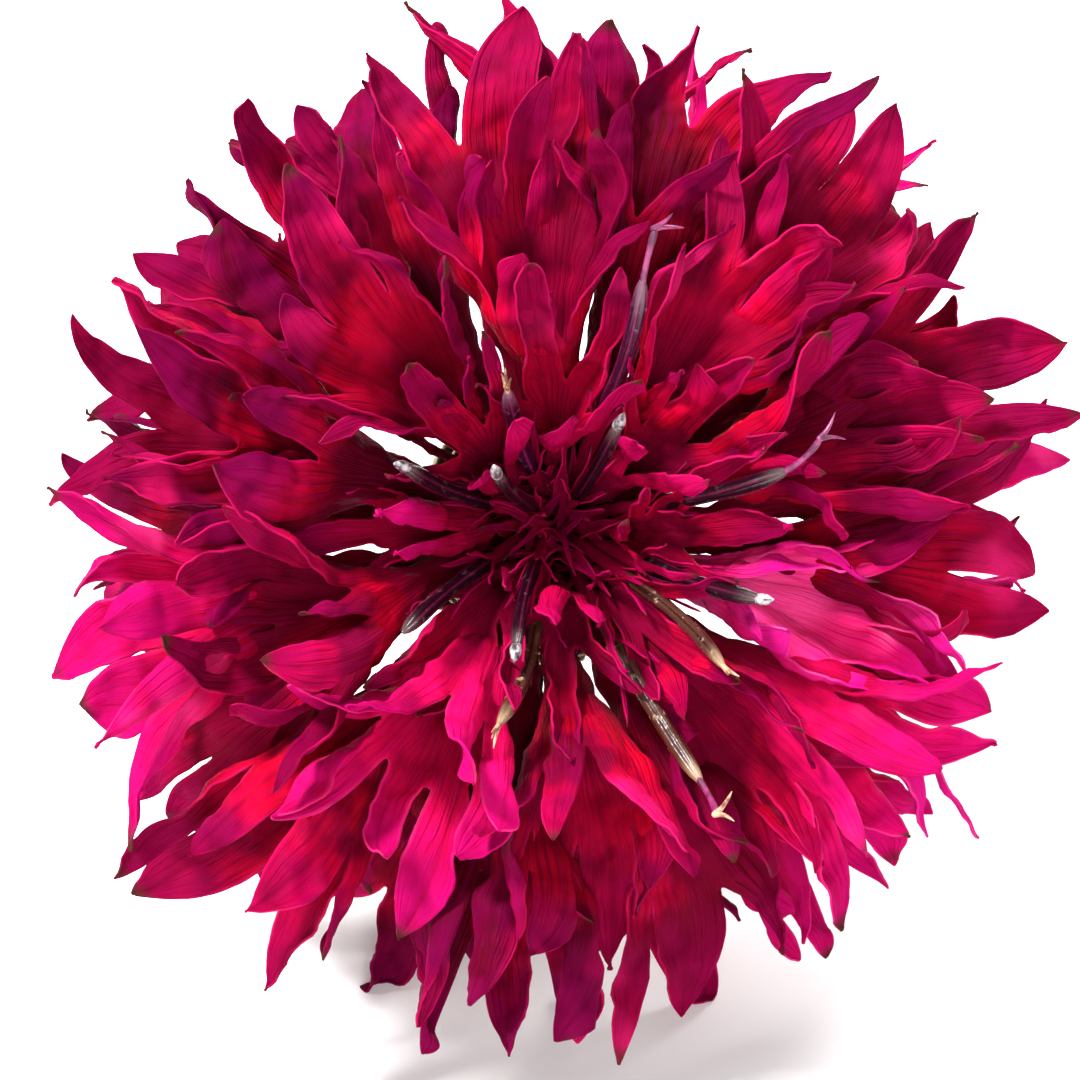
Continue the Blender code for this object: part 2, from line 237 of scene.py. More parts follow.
def petal_tissue():
    tree, given, made = new_effect("petal_tissue", ("Throat", "Shade", "Blade", "Tip", "Edge"))
    across, along, place = laid_out(tree)
    away = from_middle(tree, maths(tree, "FRACT", across))
    on_lobes = between(tree, along, PETAL_SPLIT, PETAL_SPLIT + 0.02)

    wander = product(tree, noise(tree, place, 520, 3), 4.6)
    comb = maths(tree, "ADD", product(tree, across, VEINS_A_LOBE * 2 * math.pi), wander)
    visible = between(tree, noise(tree, place, 380, 2), 0.38, 0.66)
    veins = product(tree, between(tree, maths(tree, "SINE", comb), 0.25, 1.0), visible)
    ribs = maths(tree, "MAXIMUM", veins, between(tree, away, 0.20, 0.0))
    streaks = streaked(tree, across, along, (24, 5), 1.6)

    lit = between(tree, noise(tree, place, 190, 3), 0.43, 0.60)
    colour = blended(tree, lit, given["Shade"], given["Blade"])
    ragged_depth = maths(tree, "ADD", along, product(tree, noise(tree, place, 240, 2), 0.14))
    # The throat colour covers the tube and the deep cup. On most florets it is dark, as painted shade there;
    # on the pale florets it is their own pale throat.
    colour = blended(tree, between(tree, ragged_depth, 0.93, 0.62), colour, given["Throat"])
    ragged_end = maths(tree, "ADD", along, product(tree, noise(tree, place, 320, 2), 0.16))
    flush = product(tree, between(tree, ragged_end, 0.88, 1.03), TIP_FLUSH)
    colour = blended(tree, flush, colour, given["Tip"])
    hollow = between(tree, noise(tree, place, 300, 2), 0.56, 0.74)
    colour = blended(tree, product(tree, hollow, HOLLOW_SHADE), colour, given["Shade"])
    purple = product(tree, between(tree, streaks, 0.44, 0.66), PURPLE_STREAKS)
    colour = blended(tree, purple, colour, given["Tip"])
    colour = blended(tree, product(tree, ribs, streaks, VEIN_SHADE), colour, given["Shade"])
    # Pale pink patches on the lobes, in the Edge colour: painted highlights.
    painted_highlight = between(tree, noise(tree, place, 170, 2), 0.60, 0.76, 0.0, PAINTED_HIGHLIGHT)
    colour = blended(tree, product(tree, painted_highlight, on_lobes), colour, given["Edge"])
    # A thin pale margin round the lobes, drawn only in the lit patches: partly the petal's own pale edge,
    # partly a painted highlight on the rims.
    margin = product(tree, between(tree, away, 0.88, 1.0), on_lobes, lit, PALE_MARGIN_AND_HIGHLIGHT)
    colour = blended(tree, margin, colour, given["Edge"])
    dry = between(tree, noise(tree, place, 260), 0.5, 0.6)
    scorched = product(tree, between(tree, along, 0.975, 0.998), dry)
    colour = blended(tree, scorched, colour, SCORCHED_BROWN)

    tree.links.new(colour, made["Colour"])
    tree.links.new(between(tree, streaks, 0.3, 0.7, 0.42, 0.64), made["Roughness"])
    tree.links.new(maths(tree, "SUBTRACT", streaks, product(tree, ribs, 0.7)), made["Height"])
    return tree


tissue = petal_tissue()
PAPERY = {"Sheen Weight": 0.10, "Sheen Roughness": 0.4, "Sheen Tint": (1.0, 0.01, 0.10, 1),
          "Specular IOR Level": 0.016, "Subsurface Weight": 0.12, "Subsurface Radius": (1.0, 0.04, 0.15),
          "Subsurface Scale": 0.5 * MM}


def petal_finish(name, throat, shade, blade, tip, edge, relief=0.10):
    colours = {"Throat": throat, "Shade": shade, "Blade": blade, "Tip": tip, "Edge": edge}
    return finish_of(name, tissue, colours, relief, shader_values=PAPERY)


# Petal faces. The deep finish is the usual one and the pale one is a paler floret. The others are darker and
# lighter copies that paint light and shade. The darkest copy is painted shade on whole florets that lie in
# shadow. The dark copy is painted shade on the slim florets of the deep middle, and it also colours the
# fertile tubes. The bright copy is partly painted light on lit florets, partly a brighter floret tone.
FACES = {
    "dark": petal_finish("petal_face_dark", (0.12, 0.0005, 0.012), (0.18, 0.0006, 0.016),
                         (0.42, 0.0008, 0.038), (0.34, 0.0012, 0.072), (0.64, 0.010, 0.13)),
    "dusky": petal_finish("petal_face_dusky", (0.05, 0.0002, 0.002), (0.055, 0.0002, 0.004),
                          (0.30, 0.0004, 0.012), (0.14, 0.0004, 0.040), (0.70, 0.008, 0.13)),
    "deep": petal_finish("petal_face_deep", (0.085, 0.0002, 0.003), (0.085, 0.0003, 0.006),
                         (0.53, 0.0005, 0.015), (0.20, 0.0005, 0.050), (0.82, 0.010, 0.15)),
    "bright": petal_finish("petal_face_bright", (0.16, 0.0003, 0.006), (0.26, 0.0006, 0.018),
                           (0.62, 0.0020, 0.068), (0.42, 0.0020, 0.12), (0.80, 0.040, 0.22)),
    "pale": petal_finish("petal_face_pale", (0.92, 0.085, 0.34), (0.60, 0.004, 0.09),
                         (0.88, 0.026, 0.23), (0.48, 0.004, 0.19), (0.86, 0.14, 0.36)),
}
petal_back = petal_finish("petal_back", (0.20, 0.0008, 0.026), (0.10, 0.0004, 0.009),
                          (0.38, 0.0006, 0.020), (0.19, 0.0006, 0.041), (0.70, 0.013, 0.14), 0.14)

# --------------------------------------------------------------------------------------------------
# Petals. Each is a sterile floret: a long slim tube that opens into a thin papery trumpet with pointed
# lobes. Seven broad and three slim trumpets are shaped straight. Each petal is a copy of one, bent along
# the middle line of its place on the head.

COLUMNS = 4
TUBE_ROWS = (0.0, 0.20, 0.36, 0.45, 0.54, 0.62, 0.70, 0.78, 0.86, 0.93, 1.0)
LOBE_ROWS = (0.14, 0.28, 0.45, 0.61, 0.78, 0.92, 1.0)
BROAD_LOBE = (1.0, 0.97, 0.88, 0.71, 0.47, 0.21, 0.02)
OVAL_LOBE = (1.0, 1.0, 0.97, 0.87, 0.65, 0.32, 0.02)
STRAP_LOBE = (0.88, 0.74, 0.66, 0.58, 0.44, 0.22, 0.03)
LOBE_LONGER = (-0.34, 0.22)
LOBE_BREADTH = (0.54, 1.04)
LOBE_DRIFT = (-0.42, 0.42)
LOBE_TWIST = (-1.2, 1.2)
PETAL_WALL = 0.10 * MM


def lobe_turn(spot, lobes):
    """How far round from twelve o'clock a spot lies, counted in lobes."""
    return (math.atan2(spot.x, spot.y) / (2 * math.pi) * lobes) % lobes


def select_points(form, chosen):
    """In edit mode, selects just these vertices and what lies between them."""
    for vertex in form.verts:
        vertex.select = vertex.index in chosen
    form.select_flush_mode()


def trumpet(name, lobes, split, widths, luck, curls):
    """A straight trumpet, one unit long and one in radius, open at its foot, its mouth cut into lobes."""
    bpy.ops.object.select_all(action="DESELECT")
    bpy.ops.mesh.primitive_circle_add(vertices=lobes * COLUMNS, radius=1, fill_type="NOTHING")
    piece = bpy.context.object
    piece.name = name
    mesh = piece.data
    bpy.ops.object.mode_set(mode="EDIT")
    bpy.ops.mesh.select_mode(type="VERT")
    bpy.ops.mesh.select_all(action="SELECT")
    lobe_levels = [split + (1 - split) * share for share in LOBE_ROWS]
    levels = [split * share for share in TUBE_ROWS] + lobe_levels
    for low, high in zip(levels, levels[1:]):
        bpy.ops.mesh.extrude_region_move(TRANSFORM_OT_translate={"value": (0, 0, high - low)})

    form = bmesh.from_edit_mesh(mesh)
    layer = form.loops.layers.uv.new("petal")
    for each in form.faces:
        middle = lobe_turn(each.calc_center_median(), lobes)
        for loop in each.loops:
            turn = lobe_turn(loop.vert.co, lobes)
            loop[layer].uv = (turn + lobes * round((middle - turn) / lobes), loop.vert.co.z)
    bpy.ops.mesh.select_all(action="DESELECT")
    bpy.ops.mesh.select_mode(type="EDGE")
    form = bmesh.from_edit_mesh(mesh)
    for each in form.edges:
        turns = [lobe_turn(end.co, lobes) for end in each.verts]
        on_fold = all(abs(turn - round(turn)) < 0.05 for turn in turns)
        each.select_set(on_fold and min(end.co.z for end in each.verts) > split - 0.001)
    bmesh.update_edit_mesh(mesh)
    bpy.ops.mesh.edge_split(type="EDGE")
    bpy.ops.mesh.select_mode(type="VERT")

    form = bmesh.from_edit_mesh(mesh)
    blades = {}
    for each in form.faces:
        middle = each.calc_center_median()
        for corner in each.verts:
            for row, level in enumerate(lobe_levels):
                if middle.z > split and abs(corner.co.z - level) < 0.001:
                    blades.setdefault((int(lobe_turn(middle, lobes)), row), set()).add(corner.index)
    for lobe in range(lobes):
        angle = 2 * math.pi * (lobe + 0.5) / lobes
        outward = Vector((math.sin(angle), math.cos(angle), 0))
        sideways = Vector((math.cos(angle), -math.sin(angle), 0))
        longer, breadth, curl, drift, twist = (
            luck.uniform(*limits) for limits in (LOBE_LONGER, LOBE_BREADTH, curls, LOBE_DRIFT, LOBE_TWIST))
        for row, (level, width) in enumerate(zip(lobe_levels, widths)):
            along = (level - split) / (1 - split)
            centre = outward + Vector((0, 0, level))
            narrow = width * (1 + (breadth - 1) * min(1, along * 3))
            select_points(bmesh.from_edit_mesh(mesh), blades[lobe, row])
            bpy.ops.transform.resize(value=(narrow, narrow, 1), center_override=centre)
            bpy.ops.transform.rotate(value=twist * along, orient_axis="Z", center_override=centre)
            shift = (outward * curl + sideways * drift) * along ** 2
            shift.z = (level - split) * longer
            bpy.ops.transform.translate(value=shift)
    bpy.ops.object.mode_set(mode="OBJECT")
    return piece


def through(knots, steps=8):
    """A smooth line through the knots, as points, and the run of the line at each knot."""
    points = [knots[0]]
    for i in range(len(knots) - 1):
        before, after = knots[max(i - 1, 0)], knots[min(i + 2, len(knots) - 1)]
        length = np.linalg.norm(knots[i + 1] - knots[i])
        leave, arrive = knots[i + 1] - before, after - knots[i]
        leave, arrive = leave / np.linalg.norm(leave), arrive / np.linalg.norm(arrive)
        for t in np.linspace(0, 1, steps + 1)[1:]:
            points.append((2 * t**3 - 3 * t**2 + 1) * knots[i] + (t**3 - 2 * t**2 + t) * leave * length
                          + (3 * t**2 - 2 * t**3) * knots[i + 1] + (t**3 - t**2) * arrive * length)
    points = np.array(points)
    run = np.concatenate(([0], np.cumsum(np.linalg.norm(np.diff(points, axis=0), axis=1))))
    return points, run, run[::steps]


PETAL_RINGS = (5, 10, 16, 26, 46, 66, 96, 106)
LEAST_REACH = 0.16 * MM
HEADING_STEP = 0.6 * MM


class Place:
    """Where a floret grows: its middle line, and how far its walls reach from it on all four sides."""

    def __init__(self, knots, reaches):
        self.points, self.run, knot_runs = through(knots)
        self.knot_shares = knot_runs / self.run[-1]
        heading = knots[-1] - knots[1]
        heading[2] = 0
        self.side = np.cross((0, 0, 1.0), heading / np.linalg.norm(heading))
        self.reaches = np.array(reaches)

    @classmethod
    def of(cls, node, rings=PETAL_RINGS):
        """The place that a CAD node holds, from the rings of corners that it is built of."""
        corners = head_points(node)
        seat = corners[np.argsort(corners[:, 2])[:rings[0]]].mean(axis=0)
        corners = corners[np.argsort(np.linalg.norm(corners - seat, axis=1))]
        cuts = [round(cut * len(corners) / rings[-1]) for cut in rings]
        groups = np.split(corners, cuts[:-1])
        place = cls([group.mean(axis=0) for group in groups], ())
        reaches = []
        for group, share in zip(groups, place.knot_shares):
            middle, upper, across = place.frames(np.array([share]))
            offset = group - middle[0]
            east, up = offset @ across[0], offset @ upper[0]
            reaches.append((east.max(), -east.min(), up.max(), -up.min()))
        place.reaches = np.maximum(np.array(reaches), LEAST_REACH)
        return place

    def frames(self, share):
        """Middle points, upper sides and across directions at these shares of the line."""
        run = np.asarray(share) * self.run[-1]
        end = np.array([np.interp(run, self.run, self.points[:, i]) for i in range(3)]).T
        last = self.points[-1] - self.points[-3]
        end += np.maximum(run - self.run[-1], 0)[:, None] * last / np.linalg.norm(last)
        run = np.clip(run, HEADING_STEP, self.run[-1])
        low, high = (np.array([np.interp(spot, self.run, self.points[:, i]) for i in range(3)]).T
                     for spot in (run - HEADING_STEP, run))
        ahead = high - low
        upper = np.cross(ahead, self.side)
        upper /= np.linalg.norm(upper, axis=1)[:, None]
        across = np.cross(upper, ahead)
        across /= np.linalg.norm(across, axis=1)[:, None]
        return end, upper, across

    def bend(self, points, oblique=0.0, reach=1.0):
        """Carries the points of a straight unit form here. Its upper lip ends earlier by oblique."""
        x, y, z = points.T
        upper_side = (1 + y / np.maximum(np.hypot(x, y), 1e-6)) / 2
        share = z * reach * (1 - oblique * upper_side * np.clip((z - 0.3) / 0.3, 0, 1))
        middle, upper, across = self.frames(share)
        sides = [np.interp(share, self.knot_shares, self.reaches[:, i]) for i in range(4)]
        wide = np.where(x > 0, sides[0], sides[1])
        tall = np.where(y > 0, sides[2], sides[3])
        return middle + across * (x * wide)[:, None] + upper * (y * tall)[:, None]


def reshape(mesh, moved):
    mesh.vertices.foreach_set("co", moved.ravel())
    mesh.update()


def shape_of(mesh):
    points = np.empty(len(mesh.vertices) * 3)
    mesh.vertices.foreach_get("co", points)
    return points.reshape(-1, 3)


def apply_modifier(piece, kind, **settings):
    modifier = piece.modifiers.new(kind.lower(), kind)
    for key, value in settings.items():
        setattr(modifier, key, value)
    with bpy.context.temp_override(object=piece, active_object=piece, selected_objects=[piece]):
        bpy.ops.object.modifier_apply(modifier=modifier.name)


def copy_of(master, name):
    piece = bpy.data.objects.new(name, master.data.copy())
    piece.data.name = name
    bpy.context.scene.collection.objects.link(piece)
    return piece


def crumple_texture(name, size):
    texture = bpy.data.textures.new(name, "CLOUDS")
    texture.noise_scale = size
    texture.noise_depth = 2
    return texture


ripple = crumple_texture("ripple", 3.6 * MM)
crease = crumple_texture("crease", 1.3 * MM)


def crumple(piece, texture, strength):
    apply_modifier(piece, "DISPLACE", texture=texture, texture_coords="GLOBAL", strength=strength,
                   mid_level=0.5)


def finished_floret(piece, back, front, rounding, crumples):
    """Rounds and crumples a floret and gives it its wall and its looks. Where it would reach through the
    table, it lies on it instead."""
    mesh = piece.data
    mesh.materials.append(back)
    mesh.materials.append(front)
    apply_modifier(piece, "SUBSURF", levels=rounding, render_levels=rounding)
    for texture, strength in crumples:
        crumple(piece, texture, strength)
    points = shape_of(mesh)
    points[:, 2] = np.maximum(points[:, 2], PETAL_WALL)
    reshape(mesh, points)
    apply_modifier(piece, "SOLIDIFY", thickness=PETAL_WALL, offset=0, material_offset=1,
                   use_even_offset=False)
    mesh.shade_smooth()
    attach(piece, "root")


def rolled(points, degrees):
    """The points turned about the trumpet's own length."""
    angle = math.radians(degrees)
    x, y, z = points.T
    cos, sin = math.cos(angle), math.sin(angle)
    return np.stack((x * cos + y * sin, y * cos - x * sin, z), axis=1)


WAIST = ((0.30, 1.0), (0.38, 0.66), (0.55, 0.56), (0.66, 0.74), (0.80, 1.0))
PLEAT_START, PLEAT_RUN = 0.35, 0.45
PETAL_REACH = 1.09
BROAD_CURL = (-0.55, 0.70)
SLIM_CURL = (-0.2, 0.6)
SLIM_SPLIT = 0.74
PETAL_ROLL = (-35, 35)
PETAL_OBLIQUE = (0.08, 0.30)
PETAL_PLEAT = (0.04, 0.18)
PETAL_CRUMPLES = ((ripple, 1.5 * MM), (crease, 0.55 * MM))


def petal(name, node, master, roll, oblique, pleat, back, front):
    """One petal: a trumpet pleated between its lobes, drawn in below its mouth, rolled, bent and crumpled."""
    piece = copy_of(master, name)
    points = shape_of(piece.data)
    lobes = int(master.name.split("_")[1])
    depth = np.clip((points[:, 2] - PLEAT_START) / PLEAT_RUN, 0, 1)
    pleats = np.cos(lobes * np.arctan2(points[:, 0], points[:, 1]))
    waist = np.interp(points[:, 2], *zip(*WAIST))
    points[:, :2] *= ((1 - pleat * depth * pleats) * waist)[:, None]
    reshape(piece.data, from_head(Place.of(node).bend(rolled(points, roll), oblique, PETAL_REACH)))
    finished_floret(piece, back, front, 2, PETAL_CRUMPLES)
    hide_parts(node)


luck = random.Random(7)
BROAD_TRUMPETS = [
    trumpet(f"trumpet_{lobes}_{i}", lobes, PETAL_SPLIT, OVAL_LOBE if i % 3 else BROAD_LOBE, luck, BROAD_CURL)
    for i, lobes in enumerate((6, 6, 7, 7, 8, 8, 8))]
SLIM_TRUMPETS = [
    trumpet(f"slim_{lobes}_{i}", lobes, SLIM_SPLIT, STRAP_LOBE, luck, SLIM_CURL)
    for i, lobes in enumerate((5, 5, 6))]
# Which florets take which copy. The shaded ones are painted shade and the bright ones are partly painted
# light; the pale ones are paler florets.
TONES = {
    "pale": ("outer_floret_05", "third_floret_03"),
    "bright": ("outer_floret_02", "outer_floret_04", "outer_floret_06", "second_floret_05",
               "second_floret_09", "third_floret_06", "inner_floret_07"),
    "dusky": ("outer_floret_07", "outer_floret_08", "outer_floret_10", "outer_floret_12", "second_floret_01",
              "second_floret_07", "second_floret_11", "third_floret_08", "third_floret_09"),
}
FERTILE = [node for node in sorted(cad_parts) if node.startswith(("disc_floret", "centre_floret"))]
PETALS = [node for node in sorted(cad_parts) if "floret" in node and node not in FERTILE]
for number, node in enumerate(PETALS):
    slim = node.startswith("inner")
    # Slim inner florets take the dark copy: painted shade of the deep middle.
    tone = next((tone for tone, nodes in TONES.items() if node in nodes), "dark" if slim else "deep")
    petal(f"petal_{number + 1:02d}", node, luck.choice(SLIM_TRUMPETS if slim else BROAD_TRUMPETS),
          luck.uniform(*PETAL_ROLL), luck.uniform(*PETAL_OBLIQUE), luck.uniform(*PETAL_PLEAT),
          FACES[tone] if tone in TONES else petal_back, FACES[tone])
for master in BROAD_TRUMPETS + SLIM_TRUMPETS:
    bpy.data.objects.remove(master)

# --------------------------------------------------------------------------------------------------
# Fertile florets of the middle: each a narrow dark tube with five strap lobes. The lobes curl back as it
# opens. One tube is shaped and copied to all twelve places.

ROD_RINGS = (6, 12, 18, 24, 30, 36, 42, 48, 54)
TUBE_REACH = 0.80
COROLLA_CURL = (1.2, 4.2)
LOBE_ANGLE = 72

corolla = trumpet("corolla", 5, PETAL_SPLIT, STRAP_LOBE, luck, COROLLA_CURL)
for number, node in enumerate(FERTILE):
    piece = copy_of(corolla, f"disc_tube_{number + 1:02d}")
    points = rolled(shape_of(piece.data), luck.uniform(0, LOBE_ANGLE))
    reshape(piece.data, from_head(Place.of(node, ROD_RINGS).bend(points, reach=TUBE_REACH)))
    finished_floret(piece, FACES["dark"], FACES["dark"], 1, ((crease, 0.3 * MM),))

# Young florets fill the very middle. They are too small and too many for solids of their own.

YOUNG = 22
YOUNG_SEAT = (0.2 * MM, 1.5 * MM)
YOUNG_HEIGHT = (15.0 * MM, 10.5 * MM)
YOUNG_UNEVEN = (-1.0 * MM, 1.0 * MM)
YOUNG_LEAN = (1.2 * MM, 3.2 * MM)
YOUNG_WIDE = (1.0 * MM, 1.6 * MM)
YOUNG_TUBE = ((0.0, 0.22), (0.45, 0.26), (0.70, 0.36), (0.80, 0.55), (1.0, 0.60))
YOUNG_REACH = 1.05
GOLDEN_TURN = math.radians(137.5)

up = np.array((0, 0, 1.0))
for number in range(YOUNG):
    share = (number + 0.5) / YOUNG
    turn = number * GOLDEN_TURN
    out = np.array((math.sin(turn), math.cos(turn), 0.0))
    seat = out * np.interp(math.sqrt(share), (0, 1), YOUNG_SEAT)
    height = np.interp(share, (0, 1), YOUNG_HEIGHT) + luck.uniform(*YOUNG_UNEVEN)
    lean = out * share * luck.uniform(*YOUNG_LEAN)
    knots = [seat + up * height * level + lean * level ** 3 for level, reach in YOUNG_TUBE]
    wide = luck.uniform(*YOUNG_WIDE)
    place = Place(knots, [(reach * wide,) * 4 for level, reach in YOUNG_TUBE])
    piece = copy_of(corolla, f"young_floret_{number + 1:02d}")
    points = rolled(shape_of(piece.data), luck.uniform(0, LOBE_ANGLE))
    reshape(piece.data, from_head(place.bend(points, reach=YOUNG_REACH)))
    # Every other young floret takes the bright copy: painted light that lifts the shaded middle.
    finished_floret(piece, FACES["deep"], FACES["deep" if number % 2 else "bright"], 1, ((crease, 0.5 * MM),))
bpy.data.objects.remove(corolla)

# --------------------------------------------------------------------------------------------------
# Anther columns. Five anthers are joined edge to edge into a glossy purple-black rod with five grooves,
# which stands out of its tube and hooks over. Old ones wither to brown straw.

ANTHER_LEVELS = (0.62, 0.66, 0.71, 0.76, 0.81, 0.86, 0.90, 0.94, 0.97, 0.985, 0.996, 1.0)
ANTHER_RADII = (0.70, 0.85, 0.98, 1.02, 1.0, 1.0, 1.04, 1.06, 1.0, 0.9, 0.6, 0.1)
GROOVES, GROOVE_SIDES, GROOVE_DEPTH = 5, 4, 0.76


def drawn_rod(name, sides, levels, radii, ribs=GROOVES):
    """A rod along +Z: a closed disc, drawn out ring by ring to these levels and radii. Its UV layer counts
    the ribs round it."""
    bpy.ops.object.select_all(action="DESELECT")
    bpy.ops.mesh.primitive_circle_add(vertices=sides, radius=radii[0], fill_type="NGON",
                                      location=(0, 0, levels[0]))
    piece = bpy.context.object
    piece.name = name
    bpy.ops.object.transform_apply()
    bpy.ops.object.mode_set(mode="EDIT")
    bpy.ops.mesh.select_all(action="SELECT")
    bpy.ops.mesh.flip_normals()
    for i in range(1, len(levels)):
        bpy.ops.mesh.extrude_region_move(TRANSFORM_OT_translate={"value": (0, 0, levels[i] - levels[i - 1])})
        change = radii[i] / radii[i - 1]
        bpy.ops.transform.resize(value=(change, change, 1), center_override=(0, 0, levels[i]))
    bpy.ops.mesh.select_all(action="SELECT")
    bpy.ops.mesh.normals_make_consistent(inside=False)
    form = bmesh.from_edit_mesh(piece.data)
    layer = form.loops.layers.uv.new("petal")
    for each in form.faces:
        middle = lobe_turn(each.calc_center_median(), ribs)
        for loop in each.loops:
            turn = lobe_turn(loop.vert.co, ribs)
            loop[layer].uv = (turn + ribs * round((middle - turn) / ribs), loop.vert.co.z)
    bmesh.update_edit_mesh(piece.data)
    bpy.ops.object.mode_set(mode="OBJECT")
    return piece


def anther_skin():
    tree, given, made = new_effect("anther_skin", ("Skin", "Seam", "Dust"), ("Dusting",))
    round_it, along, place = laid_out(tree)
    away = from_middle(tree, maths(tree, "FRACT", round_it))
    blotches = noise(tree, place, 1400, 4)
    uneven = between(tree, blotches, 0.3, 0.6, 0.5, 1.0)
    seam = product(tree, between(tree, away, 0.62, 0.95), uneven)
    colour = blended(tree, seam, given["Skin"], given["Seam"])
    grains = between(tree, noise(tree, place, 3200, 2), 0.5, 0.62)
    dusted = maths(tree, "MAXIMUM", between(tree, along, 0.93, 1.0), between(tree, blotches, 0.52, 0.72))
    faded = between(tree, along, 0.93, 1.0, 0.0, 0.8)
    dusting = maths(tree, "MAXIMUM", product(tree, grains, dusted), faded)
    dusting = product(tree, dusting, given["Dusting"])
    tree.links.new(blended(tree, dusting, colour, given["Dust"]), made["Colour"])
    tree.links.new(between(tree, dusting, 0, 1, 0.24, 0.7), made["Roughness"])
    tree.links.new(maths(tree, "ADD", blotches, dusting), made["Height"])
    return tree


skin = anther_skin()
GLOSSY = {"Coat Weight": 0.35, "Coat Roughness": 0.12, "Specular IOR Level": 0.35}
ANTHERS = {
    "black": finish_of("anther_black", skin, {
        "Skin": (0.008, 0.0008, 0.004), "Seam": (0.075, 0.004, 0.022), "Dust": (0.55, 0.42, 0.40)}, 0.05,
        {"Dusting": 0.12}, GLOSSY),
    "purple": finish_of("anther_purple", skin, {
        "Skin": (0.035, 0.0012, 0.016), "Seam": (0.16, 0.010, 0.06), "Dust": (0.50, 0.24, 0.34)}, 0.05,
        {"Dusting": 0.22}, GLOSSY),
    "withered": finish_of("anther_withered", skin, {
        "Skin": (0.055, 0.016, 0.010), "Seam": (0.012, 0.002, 0.002), "Dust": (0.42, 0.27, 0.15)}, 0.09,
        {"Dusting": 0.8}, {"Coat Weight": 0.15, "Coat Roughness": 0.3, "Specular IOR Level": 0.4}),
}
# Each column: its finish, what stands at its tip, and how far (in mm) its tip hooks over, clockwise and
# towards the face
COLUMN_PLAN = {
    "disc_floret_01": ("purple", "forked", 0.8, 0.5),
    "disc_floret_02": ("black", "forked", 0.6, 0.3),
    "disc_floret_03": ("black", "glassy", 0.5, 0.2),
    "disc_floret_04": ("withered", "forked", 0.3, 0.4),
    "disc_floret_05": ("withered", "frayed", -1.1, 0.5),
    "disc_floret_06": ("black", "none", 0.4, 0.4),
    "disc_floret_07": ("black", "glassy", -0.6, 0.5),
    "disc_floret_08": ("purple", "frayed", -0.4, 0.3),
    "centre_floret_01": ("black", "glassy", 0.5, -0.3),
    "centre_floret_02": ("withered", "frayed", -0.8, 1.0),
    "centre_floret_03": ("black", "glassy", 0.5, -0.2),
    "centre_floret_04": ("black", "glassy", -0.5, 0.3),
}
HOOK_START = 0.72
NEAR_END = 0.95


def hook_share(along):
    """How much of its hook a column has this far along: nothing up to the start, all of it at the end."""
    return np.clip((along - HOOK_START) / (1 - HOOK_START), 0, None) ** 2


def finished_rod(piece, paint):
    piece.data.materials.append(paint)
    apply_modifier(piece, "SUBSURF", levels=2, render_levels=2)
    piece.data.shade_smooth()
    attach(piece, "root")


anther = drawn_rod("anther", GROOVES * GROOVE_SIDES, ANTHER_LEVELS, ANTHER_RADII)
points = shape_of(anther.data)
grooved = np.abs(np.arctan2(points[:, 0], points[:, 1]) / (2 * math.pi) * GROOVES % 1) < 0.01
points[grooved, :2] *= GROOVE_DEPTH
reshape(anther.data, points)
COLUMN_ENDS = {}
for number, node in enumerate(FERTILE):
    piece = copy_of(anther, f"anther_column_{number + 1:02d}")
    place = Place.of(node, ROD_RINGS)
    paint, tip, sideways, ahead = COLUMN_PLAN[node]
    middle, upper, across = place.frames(np.array([1.0]))
    hook = (across[0] * sideways + upper[0] * ahead) * MM
    points = shape_of(piece.data)
    reshape(piece.data, from_head(place.bend(points) + np.outer(hook_share(points[:, 2]), hook)))
    last = np.array([NEAR_END, 1.0])
    COLUMN_ENDS[node] = place.frames(last)[0] + np.outer(hook_share(last), hook)
    finished_rod(piece, ANTHERS[paint])
    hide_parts(node)
bpy.data.objects.remove(anther)

# --------------------------------------------------------------------------------------------------
# Column tips. Fresh columns end in a glassy bead of their five clear points, older ones in pale straw
# threads or in the style, a purple thread whose two ends curl apart.

BEAD = ((0.0, 0.20), (0.15, 0.27), (0.40, 0.30), (0.65, 0.24), (0.85, 0.15), (1.0, 0.08), (1.05, 0.02))
THREAD = ((0.0, 0.15), (0.3, 0.14), (0.6, 0.12), (0.9, 0.10), (1.15, 0.06), (1.3, 0.02))
STYLE = ((0.0, 0.17), (0.6, 0.15), (1.2, 0.14), (1.8, 0.15), (2.2, 0.20), (2.5, 0.14), (2.6, 0.03))
TIP_SIDES = 8
FRAYED_ENDS = 5
FRAYED_LENGTH = (0.6, 1.1)
FRAYED_LEAN = (0.05, 0.30)


def mottled():
    tree, given, made = new_effect("mottled", ("Light", "Dark"), ("Grain size",))
    place = put(tree, "TexCoord")["Object"]
    size = maths(tree, "DIVIDE", 1000.0, given["Grain size"])
    grain = noise(tree, place, size, 4)
    colour = blended(tree, between(tree, grain, 0.36, 0.62), given["Light"], given["Dark"])
    tree.links.new(colour, made["Colour"])
    tree.links.new(between(tree, grain, 0.3, 0.7, 0.25, 0.6), made["Roughness"])
    tree.links.new(grain, made["Height"])
    return tree


grainy = mottled()
glassy = finish_of("tip_glassy", grainy, {"Light": (0.46, 0.40, 0.43), "Dark": (0.02, 0.006, 0.012)}, 0.10,
                   {"Grain size": 0.30},
                   {"Coat Weight": 0.7, "Coat Roughness": 0.08, "Specular IOR Level": 0.5})
straw = finish_of("tip_straw", grainy, {"Light": (0.56, 0.34, 0.21), "Dark": (0.16, 0.055, 0.035)}, 0.05,
                  {"Grain size": 0.5}, {"Specular IOR Level": 0.4})
style_purple = finish_of("style_purple", grainy, {"Light": (0.24, 0.025, 0.11), "Dark": (0.07, 0.003, 0.035)},
                         0.04, {"Grain size": 0.6}, {"Coat Weight": 0.15, "Coat Roughness": 0.3})


